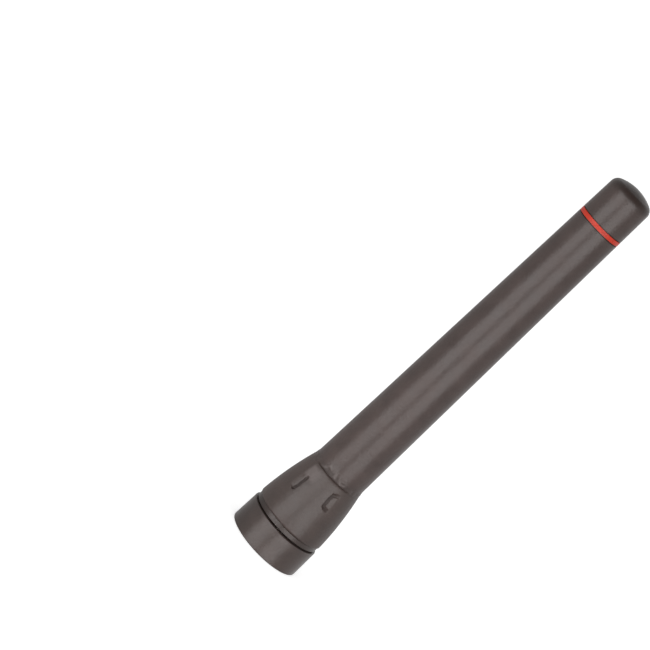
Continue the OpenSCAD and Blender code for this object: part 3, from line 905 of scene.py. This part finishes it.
def make_floor_material():
    """White to the camera, with the shadow kept; in the aerial's own reflections it is a mirror."""
    material, shader = new_material("floor_white", FLOOR_COLOR, FLOOR_ROUGHNESS)
    nodes = material.node_tree.nodes
    links = material.node_tree.links
    path = nodes.new("ShaderNodeLightPath")
    seen = combine(material, "MULTIPLY", path.outputs["Is Camera Ray"], FLOOR_GLOW)
    links.new(seen, shader.inputs["Emission Strength"])
    shader.inputs["Emission Color"].default_value = WHITE
    mirror = nodes.new("ShaderNodeBsdfGlossy")
    mirror.inputs["Color"].default_value = (*FLOOR_COLOR, 1.0)
    mirror.inputs["Roughness"].default_value = MIRROR_ROUGHNESS
    mix = nodes.new("ShaderNodeMixShader")
    links.new(reflected(material, path), mix.inputs["Fac"])
    links.new(shader.outputs["BSDF"], mix.inputs[1])
    links.new(mirror.outputs["BSDF"], mix.inputs[2])
    links.new(mix.outputs["Shader"], nodes["Material Output"].inputs["Surface"])
    return material


bpy.ops.object.select_all(action="DESELECT")
bpy.ops.mesh.primitive_plane_add(size=FLOOR_SIZE, location=(0.0, 0.0, floor_z))
floor = bpy.context.object
floor.name = "floor"
floor.data.materials.append(make_floor_material())


# %% World
UP = (0.0, 0.0, 1.0)
# The dimmer corner's direction in degrees, how far along each way the dimming begins, and the levels.
CORNER_AZIMUTH = -142.0
CEILING_FROM = 0.35
CORNER_FROM = 0.55
FILL = 0.95
CEILING = 0.35
CORNER = 0.72


def direction_level(world, direction, low, least):
    """1 where a ray goes less than low along the given direction, falling to least straight along it."""
    nodes = world.node_tree.nodes
    links = world.node_tree.links
    place = nodes.new("ShaderNodeTexCoord")
    along = nodes.new("ShaderNodeVectorMath")
    along.operation = "DOT_PRODUCT"
    links.new(place.outputs["Generated"], along.inputs[0])
    along.inputs[1].default_value = direction
    level = nodes.new("ShaderNodeMapRange")
    level.interpolation_type = "SMOOTHSTEP"
    level.inputs["From Min"].default_value = low
    level.inputs["To Min"].default_value = 1.0
    level.inputs["To Max"].default_value = least
    links.new(along.outputs["Value"], level.inputs["Value"])
    return level.outputs["Result"]


def make_world():
    """White to the camera; to the aerial, a white room with a dimmer ceiling and left rear corner."""
    world = bpy.data.worlds.new("studio")
    world.use_nodes = True
    nodes = world.node_tree.nodes
    light = nodes["Background"]
    light.inputs["Color"].default_value = WHITE
    path = nodes.new("ShaderNodeLightPath")
    overhead = direction_level(world, UP, CEILING_FROM, CEILING)
    turn = math.radians(CORNER_AZIMUTH)
    behind = direction_level(world, (math.sin(turn), -math.cos(turn), 0.0), CORNER_FROM, CORNER)
    room = combine(world, "MULTIPLY", overhead, behind)
    level = remap(world, reflected(world, path), 0.0, 1.0, FILL, 1.0)
    lit = combine(world, "MULTIPLY", level, room)
    seen = combine(world, "MAXIMUM", lit, path.outputs["Is Camera Ray"])
    world.node_tree.links.new(seen, light.inputs["Strength"])
    return world


bpy.context.scene.world = make_world()


# %% Lamps
# Angles in degrees, lengths in metres, power in watts.
BOX_AZIMUTH = 29.3
BOX_ELEVATION = 7.0
BOX_DISTANCE = 0.9
BOX_WIDTH = 0.757
BOX_HEIGHT = 0.3
BOX_POWER = 3.7


def add_soft_box(name, azimuth):
    """A rectangular lamp that faces the aerial's middle; azimuth 0 is the front, + to the right."""
    middle = Vector((0.0, 0.0, (floor_z + tip_z) / 2))
    a = math.radians(azimuth)
    e = math.radians(BOX_ELEVATION)
    way = Vector((math.sin(a) * math.cos(e), -math.cos(a) * math.cos(e), math.sin(e)))
    bpy.ops.object.light_add(type="AREA", location=middle + way * BOX_DISTANCE)
    lamp = bpy.context.object
    lamp.name = name
    lamp.data.shape = "RECTANGLE"
    lamp.data.size = BOX_WIDTH
    lamp.data.size_y = BOX_HEIGHT
    lamp.data.energy = BOX_POWER
    lamp.rotation_euler = way.to_track_quat("Z", "Y").to_euler()
    return lamp


add_soft_box("soft_box_left", -BOX_AZIMUTH)
add_soft_box("soft_box_right", BOX_AZIMUTH)
